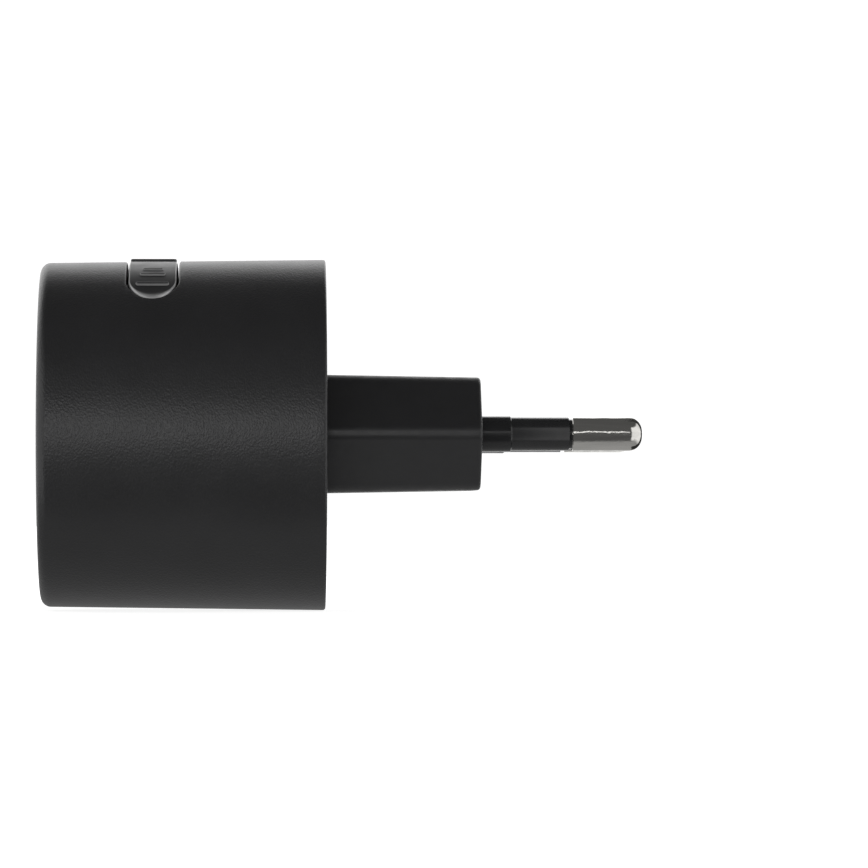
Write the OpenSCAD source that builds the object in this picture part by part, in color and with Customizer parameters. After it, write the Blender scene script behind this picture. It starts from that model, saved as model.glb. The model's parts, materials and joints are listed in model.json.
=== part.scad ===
// Plug-in door chime receiver: round housing with a rocker button on top,
// a speaker behind a perforated front, and a two-pin mains plug on the back.
// +X runs along the plug pins, +Z is up, and the origin is the centre of the
// face of the plug block, from which the pins stand out.

/* [Housing] */
// Length of the round housing, front rim to rear face
body_len = 33.6; // [33.2:0.1:36]
// Diameter at the rear face
body_d = 41.5; // [41.5:0.1:44]
// How much smaller the diameter is at the front
body_draft = 0.8; // [0:0.1:1.2]
// Wall thickness at the rear face
body_wall = 2.25; // [2.1:0.05:2.6]
// Rounding of the front edge
front_round = 1.2; // [0.6:0.1:1.4]
// Thickness of the rear cover plate
cover_t = 2; // [1.9:0.05:2.2]

/* [Rocker button] */
// Distance from the front rim to the middle of the button
rocker_from_front = 13.3; // [13:0.1:13.6]
// Width of the button along the housing
rocker_w = 5.65; // [5:0.05:5.8]
// Length of the button across the housing
rocker_len = 25.56; // [24:0.1:26]
// Clearance all round the button
rocker_gap = 0.28; // [0.2:0.02:0.32]
// Height of the ridge across the middle of the button
ridge_h = 0.34; // [0.2:0.02:0.5]
// Height of the raised marks on the button
mark_h = 0.18; // [0.1:0.02:0.3]

/* [Grille] */
// Diameter of the front grille disc
grille_d = 30; // [29:0.1:30]
// Diameter of a sound hole
grille_hole_d = 1.25; // [0.9:0.05:1.5]
// Rings of sound holes around the middle hole
grille_rings = 4; // [2:1:4]

/* [Mains plug] */
// How far the plug block stands out of the rear face
block_len = 18; // [17.5:0.1:18.5]
// Width of the block across the two pins
block_w = 35.3; // [34.9:0.1:35.5]
// Height of the block at the rear face
block_h = 13.81; // [13.5:0.01:14]
// Height of the block at its face
block_face_h = 13.18; // [13:0.01:13.4]
// Wall of the block
block_wall = 1.6; // [1.4:0.1:1.8]
// Distance between the pins where they leave the block
pin_pitch = 18.6; // [18.2:0.1:19.2]
// Lean of each pin towards the other, degrees
pin_lean = 1.66; // [0:0.01:1.7]
// Length of a pin beyond the block
pin_len = 19; // [18.5:0.1:19.5]
// Diameter of the bare metal
pin_d = 4; // [3.94:0.01:4.06]
// Length of the insulated part of a pin
sleeve_len = 10.4; // [10:0.1:11]

/* [Speaker] */
// Radius of the speaker flange
speaker_r = 13; // [12.8:0.05:13]
// Radius of the magnet
magnet_r = 4.2; // [3.8:0.05:4.2]

/* [Hidden] */
$fn = 96;

// colours
black_abs = "#232325";
plug_black = "#1b1b1d";
nickel = "#c9c8c4";
steel = "#a9abad";
board_green = "#1f5a38";
copper = "#b4682f";

// stations along X
rear_x = -block_len;
front_x = rear_x - body_len;
cover_x = rear_x - cover_t;
dish_x = front_x + 0.7;
grille_x = front_x + 0.8;
ledge_x = front_x + 2.2;
ledge_back_x = ledge_x + 1.2;
flange_x = ledge_back_x + 1.2;
rocker_x = front_x + rocker_from_front;
board_x = rear_x - 14.8;
board_t = 1.6;
board_back_x = board_x + board_t;

// radii of the housing
rear_r = body_d / 2;
front_r = rear_r - body_draft / 2;
inner_r = rear_r - body_wall;
rebate_r = inner_r + 0.5;
cover_r = rebate_r - 0.1;
grille_seat_r = grille_d / 2 + 0.1;
ledge_r = 11.6;
boss_wall_r = grille_seat_r + 1.2;
rear_round = 0.3;

// fastening points, each a radius, with angles measured from +Y towards +Z
post_angles = [50, 130, 230, 310];
post_ring_r = inner_r - 2.1;
post_r = 2.2;
post_len = 13.8;
cover_screw_r = 0.9;
clamp_angles = [90, 210, 330];
clamp_ring_r = 16.2;
clamp_boss_r = 1.8;
clamp_screw_r = 0.65;
board_boss_y = 15.9;
board_boss_r = 2;
board_boss_len = 5.2;
board_screw_r = 0.62;
screw_play = 0.05;

// light guide and its lamp, below the speaker
lamp_z = -16.6;
guide_r = 1.2;

// rocker
rocker_r = front_r + (rear_r - front_r) * rocker_from_front / body_len;
rocker_skin = 1.61;
axle_z = 17.2;
axle_r = 0.6;
ear_from = 3.3;
ear_t = 1.2;
opening_from_z = 12.8;
rim_step = 0.45;
leg_y = 9;
leg_foot_z = 14.75;
bar_steps = [[6.9, 2.4], [8.5, 3], [10.75, 3.9]];
bar_w = 0.55;
ridge_w = 0.8;
ridge_inset = 0.1;

// button board and keypad
button_board_z = 10.6;
button_board_t = 1;
button_board_w = 7;
button_board_len = 24;
keypad_z = button_board_z + button_board_t;
keypad_web = 0.8;
dome_top_z = 14.7;

// plug
block_corner_r = 3;
block_vertex_r = 0.4;
block_side_flat = 0.9;
face_wall = 2;
shoulder_t = 1.2;
shoulder_x = -face_wall - shoulder_t;
shoulder_r = 2.6;
lean_play = 0.08;
neck_r = 1.65;
collar_r = 2.09;
collar_len = 3.6;
sleeve_r = 1.955;
sleeve_edge = 0.12;
metal_edge = 0.06;
groove_len = 0.37;
tip_round = 1.6;
pin_hole_r = 2.13;
hole_mouth = 0.15;
retainer_t = 2.4;
retainer_x = shoulder_x - retainer_t;
tail_x = retainer_x - 1.9;
solder_cup_r = 0.85;

// wires: points chosen along each route
live_route = [[-6, 9.45, 0], [-9, 9.6, 0.2], [-14, 9.1, 0.7], [-20, 9.7, -0.4],
    [-26, 9.3, 0.2], [-31.15, 9.3, 0]];
plus_route = [[-42.8, -6.6, 4.2], [-41, -7.2, 4.9], [-37, -7.3, 4.8], [-32.9, -6.4, 5]];
minus_route = [[-42.76, -5.2, 5.8], [-41, -5.8, 6.9], [-37, -5.4, 6.4], [-32.9, -4.8, 6.6]];
wire_side_ref = [0.1, 0.4, 1];
wire_sides = 8;

// ---- shapes used by many parts -------------------------------------------

// A rod from x0 to x1, parallel to X
module rod(x0, x1, r, y = 0, z = 0) {
    translate([x0, y, z]) rotate([0, 90, 0]) cylinder(h = x1 - x0, r = r);
}

// A box given by its lower and upper limits along each axis
module box(x, y, z) {
    translate([x[0], y[0], z[0]]) cube([x[1] - x[0], y[1] - y[0], z[1] - z[0]]);
}

// A solid of revolution about X, from points [radius, x]
module revolve(profile) {
    rotate([0, 90, 0]) rotate_extrude() polygon(profile);
}

// Its children, and their mirror image across the middle plane
module both_sides() {
    children();
    mirror([0, 1, 0]) children();
}

// Puts its children at radius r and angle a about the X axis
module at_angle(r, a) {
    translate([0, r * cos(a), r * sin(a)]) children();
}

// Points of an arc in the plane
function arc(centre, r, from, to, steps = 8) =
    [for (i = [0:steps]) let (a = from + (to - from) * i / steps)
        centre + r * [cos(a), sin(a)]];

// Cross recess of a screw head, cut from its top at x going inwards by depth
module cross_recess(x, depth, half) {
    for (a = [0, 90]) rotate([a, 0, 0])
        box([x - depth, x + 1], [-half, half], [-half / 4, half / 4]);
}

// A pan-head screw along X: the head's seat is at x, the shank runs to -X
module screw(x, shank_r, shank_len, head_r, head_t) {
    difference() {
        union() {
            rod(x - shank_len, x + 0.01, shank_r);
            revolve([[0, x], [head_r, x], [head_r, x + head_t * 0.55],
                [head_r * 0.8, x + head_t], [0, x + head_t]]);
        }
        cross_recess(x + head_t, head_t * 0.6, head_r * 0.7);
    }
}

// Catmull-Rom curve through the points of a route
function blend_point(a, b, c, d, t) =
    0.5 * (2 * b + t * (c - a) + t * t * (2 * a - 5 * b + 4 * c - d)
        + t * t * t * (3 * b - a - 3 * c + d));
function smooth_route(p, steps) =
    [for (i = [0:len(p) - 2]) for (k = [0:steps - 1])
        blend_point(p[max(i - 1, 0)], p[i], p[i + 1], p[min(i + 2, len(p) - 1)], k / steps),
        p[len(p) - 1]];
function unit(v) = v / norm(v);

// A closed tube of radius r swept along points
module tube(points, r, sides = wire_sides, side_ref = wire_side_ref) {
    last = len(points) - 1;
    rings = [for (i = [0:last])
        let (along = unit(points[min(i + 1, last)] - points[max(i - 1, 0)]),
            side = unit(cross(along, side_ref)),
            up = cross(side, along))
        for (k = [0:sides - 1])
            let (a = 360 * k / sides) points[i] + r * (cos(a) * side + sin(a) * up)];
    walls = [for (i = [0:last - 1]) for (k = [0:sides - 1])
        let (n = (k + 1) % sides)
            [i * sides + k, i * sides + n, (i + 1) * sides + n, (i + 1) * sides + k]];
    start_cap = [for (k = [sides - 1:-1:0]) k];
    end_cap = [for (k = [0:sides - 1]) last * sides + k];
    polyhedron(rings, concat(walls, [start_cap, end_cap]));
}

// Stadium-shaped prism of the button's outline, grown by an amount
module rocker_prism(grow, z0, z1) {
    end_r = rocker_w / 2 + grow;
    reach = (rocker_len - rocker_w) / 2;
    translate([rocker_x, 0, z0]) linear_extrude(z1 - z0) {
        square([2 * end_r, 2 * reach], center = true);
        for (side = [-1, 1]) translate([0, side * reach]) circle(end_r);
    }
}

// ---- housing --------------------------------------------------------------

housing_profile = concat(
    arc([rear_r - rear_round, rear_x - rear_round], rear_round, 90, 0, 4),
    arc([front_r - front_round, front_x + front_round], front_round, 0, -90),
    [[grille_seat_r + 3.8, front_x], [grille_seat_r, dish_x], [grille_seat_r, ledge_x],
        [ledge_r, ledge_x], [ledge_r, ledge_back_x], [boss_wall_r, ledge_back_x],
        [boss_wall_r, ledge_x], [inner_r, ledge_x], [inner_r, cover_x],
        [rebate_r, cover_x], [rebate_r, rear_x]]);

// A screw post joined to the wall by a rib
module wall_post(a, ring_r, r, x0, x1) {
    rotate([a, 0, 0]) {
        rod(x0, x1, r, ring_r, 0);
        box([x0, x1], [ring_r, inner_r + 1], [-r * 0.55, r * 0.55]);
    }
}

module axle_ears() {
    for (side = [-1, 1]) {
        mid = rocker_x + side * (ear_from + ear_t / 2);
        ear = [mid - ear_t / 2, mid + ear_t / 2];
        rod(ear[0], ear[1], 1.4, 0, axle_z);
        box(ear, [-1.4, 1.4], [axle_z, inner_r + 1]);
    }
}

// Slots that hold the ends of the button board
module board_slots() {
    x = [rocker_x - 3, rocker_x + 3];
    both_sides() {
        box(x, [11, 17], [button_board_z - 1.3, button_board_z - 0.02]);
        box(x, [11.3, 17], [keypad_z + 0.05, keypad_z + 1]);
        box(x, [12.1, 17], [button_board_z - 1.3, keypad_z + 1]);
    }
}

module housing() {
    color(black_abs) difference() {
        union() {
            revolve(housing_profile);
            intersection() {
                rod(front_x + 1, cover_x, inner_r + 0.4);
                union() {
                    for (a = post_angles)
                        wall_post(a, post_ring_r, post_r, cover_x - post_len, cover_x);
                    for (a = clamp_angles)
                        wall_post(a, clamp_ring_r, clamp_boss_r, ledge_x, flange_x);
                    for (a = [0, 180])
                        wall_post(a, board_boss_y, board_boss_r, board_x - board_boss_len, board_x);
                    axle_ears();
                    board_slots();
                }
            }
        }
        rocker_prism(rocker_gap, opening_from_z, rear_r + 2);
        difference() {
            rocker_prism(rocker_gap + rim_step, opening_from_z, rear_r + 2);
            rod(front_x, rear_x, rocker_r - rim_step);
        }
        rod(front_x + 6, rear_x - 6, axle_r + 0.02, 0, axle_z);
        rod(front_x - 1, ledge_back_x + 1, guide_r + screw_play, 0, lamp_z);
        for (a = post_angles) at_angle(post_ring_r, a)
            rod(cover_x - 10, cover_x + 1, cover_screw_r + screw_play);
        for (a = clamp_angles) at_angle(clamp_ring_r, a)
            rod(flange_x - 2.3, flange_x + 1, clamp_screw_r + screw_play);
        for (a = [0, 180]) at_angle(board_boss_y, a)
            rod(board_x - 4.4, board_x + 1, board_screw_r + screw_play);
    }
}

// ---- front ----------------------------------------------------------------

module front_grille() {
    edge = 0.3;
    ring_step = 2.3;
    color(black_abs) difference() {
        revolve([[0, grille_x], [grille_d / 2 - edge, grille_x],
            [grille_d / 2, grille_x + edge], [grille_d / 2, ledge_x], [0, ledge_x]]);
        rod(grille_x - 1, ledge_x + 1, grille_hole_d / 2);
        for (ring = [1:grille_rings]) for (k = [0:6 * ring - 1])
            at_angle(ring * ring_step, 60 * k / ring)
                rod(grille_x - 1, ledge_x + 1, grille_hole_d / 2);
    }
}

module grille_cloth() {
    color("#101012") rod(ledge_x, ledge_x + 0.25, ledge_r - 0.2);
}

module light_guide() {
    color([0.85, 0.88, 0.9, 0.6]) translate([0, 0, lamp_z]) {
        rod(front_x + 0.42, board_x - 1.4, guide_r);
        rod(ledge_back_x, ledge_back_x + 0.7, guide_r + 0.6);
    }
}

// ---- rear cover and plug --------------------------------------------------

// Six-sided plug outline [y, z] with rounded corners, shrunk by an amount. Its slopes lie
// on the lines |y| + |z| = slope, and a narrow flat joins them on either side.
function plug_outline(height, shrink) =
    let (corner = max(block_corner_r - shrink, 0.3),
        side = max(block_vertex_r - shrink, 0.3),
        side_z = max(block_side_flat / 2 - shrink * tan(22.5), 0.05),
        slope = block_w / 2 - block_vertex_r + block_side_flat / 2
            + (block_vertex_r - shrink) * sqrt(2),
        side_y = slope - side * sqrt(2) - side_z,
        corner_z = height / 2 - shrink - corner,
        corner_y = slope - corner * sqrt(2) - corner_z,
        quarter = concat(
            arc([side_y, side_z], side, 0, 45, 4),
            arc([corner_y, corner_z], corner, 45, 90, 4)),
        upper = concat(quarter, [for (i = [len(quarter) - 1:-1:0]) [-quarter[i][0], quarter[i][1]]]))
    concat(upper, [for (i = [len(upper) - 1:-1:0]) [upper[i][0], -upper[i][1]]]);

// Prism along X of a [y, z] outline
module yz_prism(x0, x1, outline) {
    translate([x0, 0, 0]) rotate([90, 0, 90]) linear_extrude(x1 - x0) polygon(outline);
}

// The block's side view [x, z]: it narrows a little towards its face
module block_taper() {
    edge = 0.4;
    rear_h = block_h / 2;
    face_h = block_face_h / 2;
    slope = (rear_h - face_h) / block_len;
    upper = [[rear_x, rear_h], [-edge, face_h + slope * edge], [0, face_h - edge]];
    side = concat(upper, [for (i = [2:-1:0]) [upper[i][0], -upper[i][1]]]);
    translate([0, block_w, 0]) rotate([90, 0, 0]) linear_extrude(2 * block_w) polygon(side);
}

module rear_cover() {
    boss_r = 2.25;
    color(plug_black) difference() {
        union() {
            difference() {
                union() {
                    rod(cover_x, rear_x, cover_r);
                    intersection() {
                        yz_prism(rear_x, 0, plug_outline(block_h, 0));
                        block_taper();
                    }
                }
                yz_prism(cover_x - 1, -face_wall, plug_outline(block_face_h, block_wall));
            }
            rod(shoulder_x, -face_wall + 0.1, boss_r);
        }
        for (side = [-1, 1]) pin_place(side)
            revolve([[0, -face_wall - 1], [pin_hole_r, -face_wall - 1],
                [pin_hole_r, -hole_mouth], [pin_hole_r + hole_mouth + 1, 1], [0, 1]]);
        rod(shoulder_x - 1, -0.6, cover_screw_r + screw_play);
        for (a = post_angles) at_angle(post_ring_r, a) {
            rod(cover_x - 1, rear_x + 1, cover_screw_r + 0.2);
            rod(rear_x - 1.3, rear_x + 1, 2);
        }
    }
}

module cover_screws() {
    color(steel) for (a = post_angles) at_angle(post_ring_r, a)
        screw(rear_x - 1.3, cover_screw_r, 8, 1.85, 1.2);
}

// Places a pin's own X axis at its hole, leaning towards the other pin
module pin_place(side) {
    translate([0, side * pin_pitch / 2, 0]) rotate([0, 0, -side * pin_lean]) children();
}

module plug_pin(side) {
    r = pin_d / 2;
    metal_x = sleeve_len + groove_len;
    color(nickel) pin_place(side) difference() {
        revolve(concat(
            [[0, tail_x], [neck_r, tail_x], [neck_r, shoulder_x + lean_play],
                [shoulder_r, shoulder_x + lean_play], [shoulder_r, -face_wall - lean_play],
                [neck_r, -face_wall - lean_play], [neck_r, metal_x],
                [r - metal_edge, metal_x], [r, metal_x + metal_edge]],
            arc([r - tip_round, pin_len - tip_round], tip_round, 0, 90),
            [[0, pin_len]]));
        rod(tail_x - 1, tail_x + 2, solder_cup_r);
    }
}

module plug_sleeve(side) {
    bore = neck_r + 0.01;
    foot = -face_wall - lean_play;
    color(plug_black) pin_place(side)
        revolve([[bore, foot], [collar_r, foot], [collar_r, collar_len - 0.07],
            [sleeve_r, collar_len + 0.07], [sleeve_r, sleeve_len - sleeve_edge],
            [sleeve_r - sleeve_edge, sleeve_len], [bore, sleeve_len]]);
}

module pin_left() {
    plug_pin(-1);
}

module pin_right() {
    plug_pin(1);
}

module pin_sleeve_left() {
    plug_sleeve(-1);
}

module pin_sleeve_right() {
    plug_sleeve(1);
}

// Bar that holds both pins against the inside of the block's face
module pin_retainer() {
    color("#d8d4c4") difference() {
        union() {
            box([retainer_x, shoulder_x], [-9.5, 9.5], [-4.2, 4.2]);
            for (side = [-1, 1])
                rod(retainer_x, shoulder_x, 4.2, side * 9.5, 0);
        }
        for (side = [-1, 1]) pin_place(side)
            rod(retainer_x - 1, shoulder_x + 1, neck_r + 0.1);
        rod(retainer_x - 1, shoulder_x + 1, cover_screw_r + 0.2);
    }
}

module retainer_screw() {
    color(steel) translate([retainer_x, 0, 0]) mirror([1, 0, 0])
        screw(0, cover_screw_r, 4.8, 1.9, 1.3);
}

// ---- rocker button --------------------------------------------------------

module rocker_marks() {
    ridge_half = rocker_w / 2 - ridge_inset;
    intersection() {
        rod(rocker_x - rocker_w, rocker_x + rocker_w, rocker_r + ridge_h);
        box([rocker_x - ridge_half, rocker_x + ridge_half], [-ridge_w / 2, ridge_w / 2],
            [15, rear_r + 2]);
    }
    intersection() {
        rod(rocker_x - rocker_w, rocker_x + rocker_w, rocker_r + mark_h);
        union() {
            for (b = bar_steps)
                box([rocker_x - b[1] / 2, rocker_x + b[1] / 2],
                    [-b[0] - bar_w / 2, -b[0] + bar_w / 2], [15, rear_r + 2]);
            translate([rocker_x, leg_y, 15]) difference() {
                cylinder(h = 10, r = 1.5);
                translate([0, 0, -1]) cylinder(h = 12, r = 0.95);
            }
        }
    }
}

module rocker_button() {
    lug_r = 1.3;
    color(black_abs) difference() {
        union() {
            difference() {
                intersection() {
                    rocker_prism(0, opening_from_z, rear_r + 2);
                    rod(rocker_x - rocker_w, rocker_x + rocker_w, rocker_r);
                }
                rod(front_x, rear_x, rocker_r - rocker_skin);
            }
            difference() {
                rocker_marks();
                rod(front_x, rear_x, rocker_r - 0.5);
            }
            box([rocker_x - 2.4, rocker_x + 2.4], [-lug_r, lug_r],
                [axle_z, rocker_r - rocker_skin + 0.3]);
            rod(rocker_x - 2.4, rocker_x + 2.4, lug_r, 0, axle_z);
            for (side = [-1, 1])
                box([rocker_x - 1.4, rocker_x + 1.4],
                    [side * leg_y - 0.8, side * leg_y + 0.8], [leg_foot_z, 17.4]);
        }
        rod(front_x, rear_x, axle_r + 0.05, 0, axle_z);
    }
}

module rocker_axle() {
    half = ear_from + ear_t;
    color(steel) rod(rocker_x - half, rocker_x + half, axle_r, 0, axle_z);
}

// Silicone sheet with a hollow dome under each end of the rocker
module rubber_keypad() {
    web_top = keypad_z + keypad_web;
    cavity_top = dome_top_z - 1.1;
    color("#8d9094") difference() {
        union() {
            box([rocker_x - 2.9, rocker_x + 2.9], [-11, 11], [keypad_z, web_top]);
            for (side = [-1, 1]) translate([rocker_x, side * leg_y, web_top - 0.1])
                cylinder(h = dome_top_z - web_top + 0.1, r1 = 2.0, r2 = 1.4);
        }
        for (side = [-1, 1]) translate([rocker_x, side * leg_y, keypad_z - 1])
            cylinder(h = cavity_top - keypad_z + 1, r1 = 1.5, r2 = 1.1);
    }
}

module button_board() {
    half = button_board_len / 2;
    color(board_green) box(
        [rocker_x - button_board_w / 2, rocker_x + button_board_w / 2],
        [-half, half], [button_board_z, keypad_z]);
}

// Right-angle pin strip that joins the button board to the main board
module board_header() {
    pitch = 2.54;
    strip_x = [rocker_x - 0.4, rocker_x + 1.6];
    pin_z = button_board_z - 1.2;
    color("#2c2c30")
        box(strip_x, [-2 * pitch, 2 * pitch], [pin_z - 1.2, button_board_z]);
    color("#c8a850") for (i = [-1.5:1.5])
        box([strip_x[1] - 0.1, board_x],
            [i * pitch - 0.32, i * pitch + 0.32], [pin_z - 0.32, pin_z + 0.32]);
}

// ---- main board -----------------------------------------------------------

module main_board() {
    board_r = inner_r - 0.9;
    color(board_green) difference() {
        rod(board_x, board_back_x, board_r);
        for (a = post_angles) at_angle(post_ring_r, a)
            rod(board_x - 1, board_back_x + 1, post_r + 0.35);
        for (a = post_angles) rotate([a, 0, 0])
            box([board_x - 1, board_back_x + 1], [post_ring_r, inner_r], [-1.6, 1.6]);
        for (side = [-1, 1])
            rod(board_x - 1, board_back_x + 1, board_screw_r + 0.2, side * board_boss_y, 0);
    }
}

module board_screws() {
    color(steel) for (side = [-1, 1]) translate([0, side * board_boss_y, 0])
        screw(board_back_x, board_screw_r, 5.4, 1.3, 0.9);
}

module transformer_core() {
    x = [board_back_x + 0.8, board_back_x + 8.8];
    color("#3a3a3e") difference() {
        box(x, [-5, 5], [1.6, 10.4]);
        for (side = [-1, 1])
            box([x[0] + 1.8, x[1] - 1.8], [side * 2.9 - 1.1, side * 2.9 + 1.1], [0, 12]);
    }
}

// Winding around the middle limb of the core, on its bobbin with two flanges
module transformer_coil() {
    foot = board_back_x + 0.8;
    x = [foot + 1.9, foot + 6.1];
    color("#d9b23c") {
        both_sides() box(x, [1.85, 3.9], [0.9, 11.1]);
        for (z = [[0.2, 1.5], [10.5, 11.4]]) box(x, [-3.9, 3.9], z);
    }
    color(steel) for (y = [-3, 3]) for (z = [0.8, 10.95])
        rod(board_back_x, x[0] + 0.1, 0.35, y, z);
}

module mains_capacitor() {
    edge = 0.5;
    lift = 0.4;
    color("#c9a227") hull() for (y = [-1, 1]) for (z = [-1, 1])
        for (x = [board_back_x + lift, board_back_x + 10 - edge])
            translate([x, y * (6.5 - edge), -5 + z * (2.5 - edge)])
                rotate([0, 90, 0]) cylinder(h = edge, r = edge, $fn = 24);
    color(steel) for (side = [-1, 1])
        rod(board_back_x, board_back_x + lift + 0.1, 0.3, side * 5, -5);
}

// Electrolytic can standing on the board, with the groove near its base
module can(y, z, r, height) {
    x = board_back_x;
    translate([0, y, z]) revolve([[0, x], [r, x], [r, x + 1], [r - 0.25, x + 1.35],
        [r - 0.25, x + 1.65], [r, x + 2], [r, x + height - 0.4],
        [r - 0.4, x + height], [0, x + height]]);
}

module bulk_capacitor() {
    color("#20242c") can(-9.3, 5.6, 3.1, 10);
}

module output_capacitor() {
    color("#27313f") can(9.3, 5.6, 3.1, 8.5);
}

module varistor() {
    mid_x = board_back_x + 4.6;
    color("#2a5fa8") translate([mid_x, 9.5, -6.6]) rotate([90, 0, 0])
        cylinder(h = 3.2, r = 3.5, center = true);
    color(steel) for (side = [-1, 1])
        rod(board_back_x, mid_x - 2.6, 0.3, 9.5, -6.6 + side * 1.8);
}

module fuse_resistor() {
    y = -9.5;
    z = -6;
    foot = board_back_x + 0.4;
    color("#4f7f8c") translate([0, y, z]) revolve([[0, foot], [1.5, foot], [1.5, foot + 1.6],
        [1.25, foot + 2.1], [1.25, foot + 6.5], [1.5, foot + 7], [1.5, foot + 8.6], [0, foot + 8.6]]);
    color(steel) {
        rod(board_back_x, foot + 0.1, 0.3, y, z);
        rod(foot + 8.5, foot + 9.1, 0.3, y, z);
        box([foot + 8.8, foot + 9.4], [y - 0.3, y + 0.3], [z - 2.3, z + 0.3]);
        box([board_back_x, foot + 9.3], [y - 0.3, y + 0.3], [z - 2.6, z - 2]);
    }
}

module bridge_rectifier() {
    color("#1d1d20") box([board_back_x, board_back_x + 2.6], [-3, 3], [-14, -9.4]);
    color(steel) for (y = [-2.2, 2.2]) for (z = [-15, -9.5])
        box([board_back_x, board_back_x + 0.6], [y - 0.5, y + 0.5], [z, z + 1.1]);
}

module sound_chip() {
    color("#1d1d20") box([board_x - 1.5, board_x], [0, 6], [-6.5, -1.5]);
    color(steel) for (side = [-1, 1]) for (k = [0:3])
        box([board_x - 0.7, board_x],
            [0.8 + 1.27 * k, 1.3 + 1.27 * k],
            [-4 + side * 3 - 0.6, -4 + side * 3 + 0.6]);
}

// Chip resistors and capacitors in two rows beside the sound chip
module small_resistors() {
    color("#b59a6a") for (row = [-10.4, -8.6]) for (k = [0:4])
        box([board_x - 0.6, board_x],
            [-5 + 2.4 * k, -3.4 + 2.4 * k], [row - 0.45, row + 0.45]);
}

module status_led() {
    color("#e9e4d0") {
        box([board_x - 0.9, board_x], [-1.6, 1.6], [lamp_z - 0.75, lamp_z + 0.75]);
        rod(board_x - 1.35, board_x - 0.85, 0.7, 0, lamp_z);
    }
}

module radio_board() {
    color(board_green) box([board_x - 9.2, board_x], [-13, -12], [-8, 8]);
}

module radio_shield() {
    color(steel) box([board_x - 8.4, board_x - 1.4], [-12, -10.4], [-3.5, 3.5]);
}

// Helical aerial standing on the front of the main board
module antenna_coil() {
    turns = 8;
    per_turn = 14;
    helix_r = 2;
    coil_len = 9;
    foot = board_x - 1.2;
    place = [0, 10.6, -1];
    color(copper) {
        tube([for (i = [0:turns * per_turn]) let (a = 360 * i / per_turn)
            place + [foot - coil_len * i / (turns * per_turn), helix_r * cos(a),
                helix_r * sin(a)]], 0.3, side_ref = [1, 0, 0.02]);
        rod(foot - 0.2, board_x, 0.3, place[1] + helix_r, place[2]);
    }
}

// ---- speaker --------------------------------------------------------------

module speaker_gasket() {
    color("#3b3b3e") revolve([[ledge_r, ledge_back_x], [speaker_r, ledge_back_x],
        [speaker_r, ledge_back_x + 0.4], [ledge_r, ledge_back_x + 0.4]]);
}

// Half roll between the cone and the flange
module speaker_surround() {
    x = flange_x - 0.6;
    roll = [10.7, x - 0.1];
    t = 0.2;
    color("#2b2b2e") revolve(concat(
        [[speaker_r, x], [speaker_r, x - t], [11.45, x - t]],
        arc(roll, 0.75, -10, -170, 10),
        [[9.7, x - t], [9.7, x - 0.02], [10.15, x - 0.02]],
        arc(roll, 0.55, -170, -10, 10),
        [[11.3, x]]));
}

module speaker_frame() {
    x = flange_x;
    rim = 11.2;
    color("#8f9194") {
        difference() {
            revolve([[speaker_r, x - 0.6], [speaker_r, x], [rim + 0.6, x], [8.3, x + 3.2],
                [6.25, x + 3.2], [6.25, x + 2.6], [7.9, x + 2.6], [rim, x], [rim, x - 0.6]]);
            for (a = [0:90:270]) rotate([a, 0, 0])
                box([x + 0.5, x + 2.3], [8, 12.5], [-2.8, 2.8]);
        }
        rotate([140, 0, 0]) box([x + 3.1, x + 4], [6.9, 8.2], [-2.2, 2.2]);
    }
}

module speaker_yoke() {
    x = flange_x;
    color(steel) revolve([[5.2, x + 1.8], [6.2, x + 1.8], [6.2, x + 5], [5.8, x + 5.4],
        [0, x + 5.4], [0, x + 4.4], [5.2, x + 4.4]]);
}

module speaker_magnet() {
    color("#6d6f73") rod(flange_x + 2.8, flange_x + 4.4, magnet_r);
}

module speaker_pole_plate() {
    color(steel) rod(flange_x + 2, flange_x + 2.8, magnet_r + 0.1);
}

module speaker_cone() {
    x = flange_x;
    color("#3f3b36") revolve([[0, x - 0.3], [2.6, x - 0.1], [4.5, x + 0.35], [10.2, x - 0.6],
        [10.2, x - 0.3], [4.9, x + 0.8], [4.9, x + 1.1], [4.5, x + 1.1], [4.5, x + 0.65],
        [2.5, x + 0.15], [0, x - 0.05]]);
}

module voice_coil() {
    x = flange_x;
    color(copper) revolve([[4.5, x + 1.1], [4.9, x + 1.1], [4.9, x + 2.9], [4.5, x + 2.9]]);
}

// Ring with three lugs that presses the speaker against its ledge
module speaker_clamp() {
    x = [flange_x, flange_x + 1];
    color("#2f2f33") difference() {
        union() {
            rod(x[0], x[1], 13.6);
            for (a = clamp_angles) rotate([a, 0, 0]) {
                rod(x[0], x[1], 1.9, clamp_ring_r, 0);
                box(x, [12.5, clamp_ring_r], [-1.9, 1.9]);
            }
        }
        rod(x[0] - 1, x[1] + 1, 12);
        for (a = clamp_angles) at_angle(clamp_ring_r, a)
            rod(x[0] - 1, x[1] + 1, clamp_screw_r + 0.15);
    }
}

module clamp_screws() {
    color(steel) for (a = clamp_angles) at_angle(clamp_ring_r, a)
        screw(flange_x + 1, clamp_screw_r, 3, 1.3, 0.9);
}

// ---- wires ----------------------------------------------------------------

module live_wire() {
    color("#7a4a2a") tube(smooth_route(live_route, 4), 0.7);
}

module neutral_wire() {
    color("#2f5fa0") mirror([0, 1, 0]) tube(smooth_route(live_route, 4), 0.7);
}

module speaker_lead_plus() {
    color("#b02a2a") tube(smooth_route(plus_route, 4), 0.4);
}

module speaker_lead_minus() {
    color("#26262a") tube(smooth_route(minus_route, 4), 0.4);
}

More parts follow.
